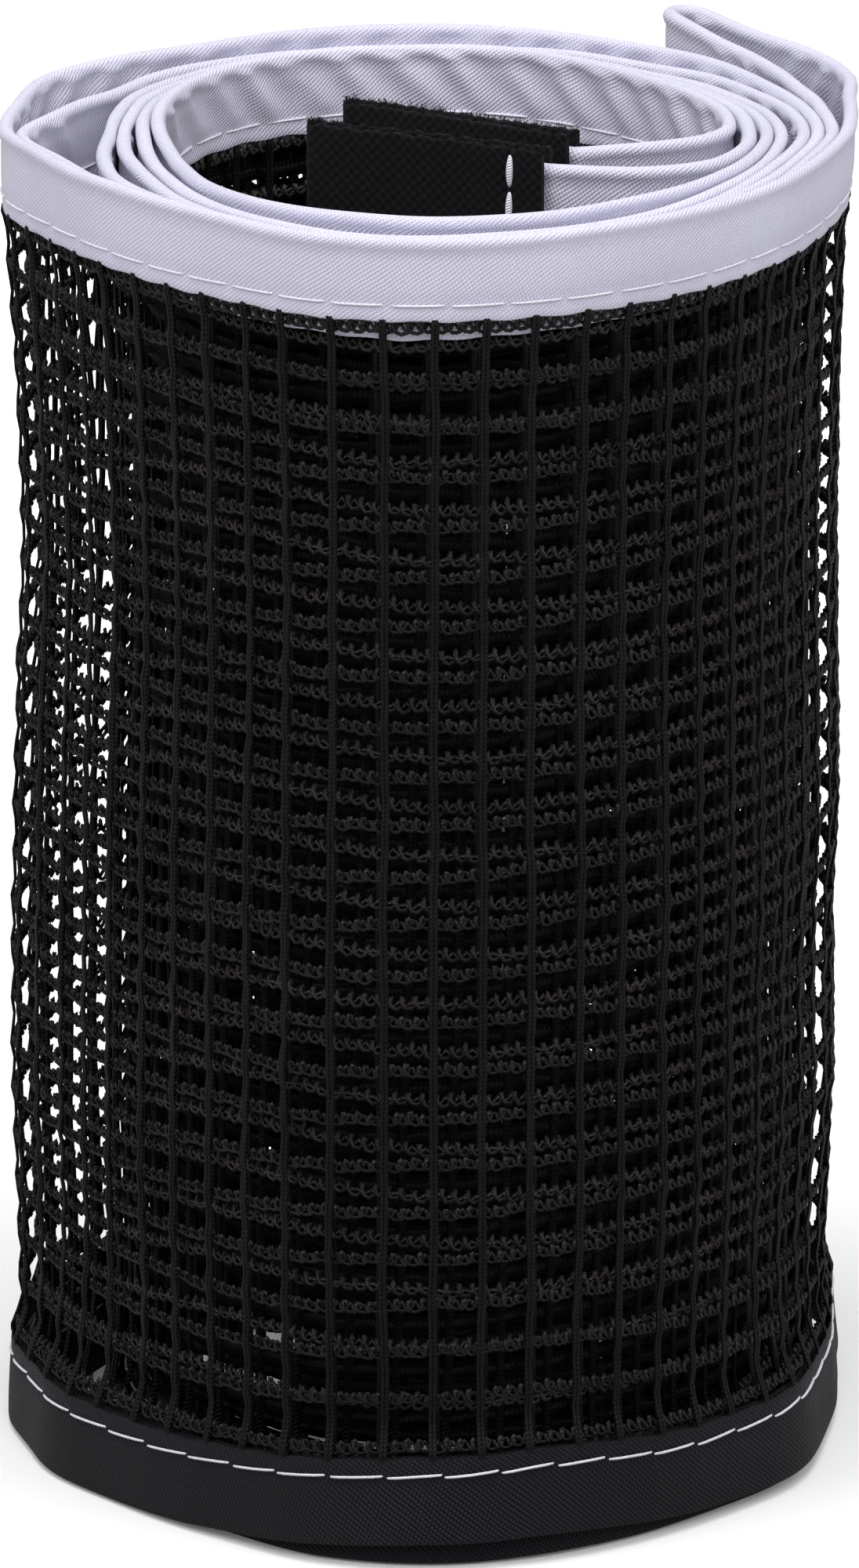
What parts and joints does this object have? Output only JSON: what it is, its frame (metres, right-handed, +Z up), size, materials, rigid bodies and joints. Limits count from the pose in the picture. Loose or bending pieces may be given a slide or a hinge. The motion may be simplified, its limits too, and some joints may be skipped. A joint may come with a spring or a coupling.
{
  "type": "table tennis net",
  "caption": "Rolled table tennis net: black knitted mesh with a white corded top tape, dark bottom tape and end sleeves; the outer flap peels open.",
  "frame": {"origin": "middle of the plan box, on the plane the net stands on", "axes": "+Z up along the net's height; +X and +Y in the plan, with the fold of the net at +X +Y and the sleeves in the middle"},
  "size_m": [0.0966, 0.104, 0.154],
  "materials": {
    "netting_yarn": "matt black knitted yarn",
    "white_tape": "fine twill with a soft sheen",
    "dark_tape": "fine dark twill with a soft sheen",
    "tension_cord": "twisted cord",
    "thread": "glossy polyester thread",
    "webbing": "matt black woven webbing"
  },
  "bodies": {
    "roll": {"netting_core": "netting_yarn", "top_tape_core": "white_tape", "bottom_tape_core": "dark_tape", "cord_core": "tension_cord", "top_stitching_core": "thread", "bottom_stitching_core": "thread"},
    "flap_1": {"netting_flap_1": "netting_yarn", "top_tape_flap_1": "white_tape", "bottom_tape_flap_1": "dark_tape", "cord_flap_1": "tension_cord", "top_stitching_flap_1": "thread", "bottom_stitching_flap_1": "thread"},
    "flap_2": {"netting_flap_2": "netting_yarn", "top_tape_flap_2": "white_tape", "bottom_tape_flap_2": "dark_tape", "cord_flap_2": "tension_cord", "top_stitching_flap_2": "thread", "bottom_stitching_flap_2": "thread"},
    "flap_3": {"netting_flap_3": "netting_yarn", "top_tape_flap_3": "white_tape", "bottom_tape_flap_3": "dark_tape", "cord_flap_3": "tension_cord", "top_stitching_flap_3": "thread", "bottom_stitching_flap_3": "thread"},
    "flap_4": {"netting_flap_4": "netting_yarn", "top_tape_flap_4": "white_tape", "bottom_tape_flap_4": "dark_tape", "cord_flap_4": "tension_cord", "top_stitching_flap_4": "thread", "bottom_stitching_flap_4": "thread"},
    "flap_5": {"netting_flap_5": "netting_yarn", "top_tape_flap_5": "white_tape", "bottom_tape_flap_5": "dark_tape", "cord_flap_5": "tension_cord", "top_stitching_flap_5": "thread", "bottom_stitching_flap_5": "thread"},
    "flap_6": {"netting_flap_6": "netting_yarn", "top_tape_flap_6": "white_tape", "bottom_tape_flap_6": "dark_tape", "cord_flap_6": "tension_cord", "top_stitching_flap_6": "thread", "bottom_stitching_flap_6": "thread"},
    "front_sleeve": {"front_sleeve": "webbing", "front_sleeve_stitching": "thread"},
    "rear_sleeve": {"rear_sleeve": "webbing", "rear_sleeve_stitching": "thread"}
  },
  "joints": [
    {"name": "peel_1", "type": "hinge", "parent": "roll", "child": "flap_1", "pos_m": [-0.02193, -0.04065, 0.07], "axis": [0, 0, -1], "range_deg": [0, 22]},
    {"name": "peel_2", "type": "hinge", "parent": "flap_1", "child": "flap_2", "pos_m": [-0.00643, -0.04981, 0.07], "axis": [0, 0, -1], "range_deg": [0, 22]},
    {"name": "peel_3", "type": "hinge", "parent": "flap_2", "child": "flap_3", "pos_m": [0.01181, -0.04826, 0.07], "axis": [0, 0, -1], "range_deg": [0, 22]},
    {"name": "peel_4", "type": "hinge", "parent": "flap_3", "child": "flap_4", "pos_m": [0.02705, -0.03876, 0.07], "axis": [0, 0, -1], "range_deg": [0, 22]},
    {"name": "peel_5", "type": "hinge", "parent": "flap_4", "child": "flap_5", "pos_m": [0.03805, -0.02527, 0.07], "axis": [0, 0, -1], "range_deg": [0, 22]},
    {"name": "peel_6", "type": "hinge", "parent": "flap_5", "child": "flap_6", "pos_m": [0.04449, -0.0089, 0.07], "axis": [0, 0, -1], "range_deg": [0, 36]},
    {"name": "front_sleeve_swing", "type": "hinge", "parent": "roll", "child": "front_sleeve", "pos_m": [0.01322, -0.01924, 0.07], "axis": [0, 0, 1], "range_deg": [-5, 35]},
    {"name": "rear_sleeve_swing", "type": "hinge", "parent": "roll", "child": "rear_sleeve", "pos_m": [0.01606, -0.01184, 0.07], "axis": [0, 0, 1], "range_deg": [-35, 5]}
  ],
  "couplings": [
    {"joint": "peel_2", "follows": "peel_1", "ratio": 1},
    {"joint": "peel_3", "follows": "peel_1", "ratio": 1},
    {"joint": "peel_4", "follows": "peel_1", "ratio": 1},
    {"joint": "peel_5", "follows": "peel_1", "ratio": 1},
    {"joint": "peel_6", "follows": "peel_1", "ratio": 1.6}
  ]
}
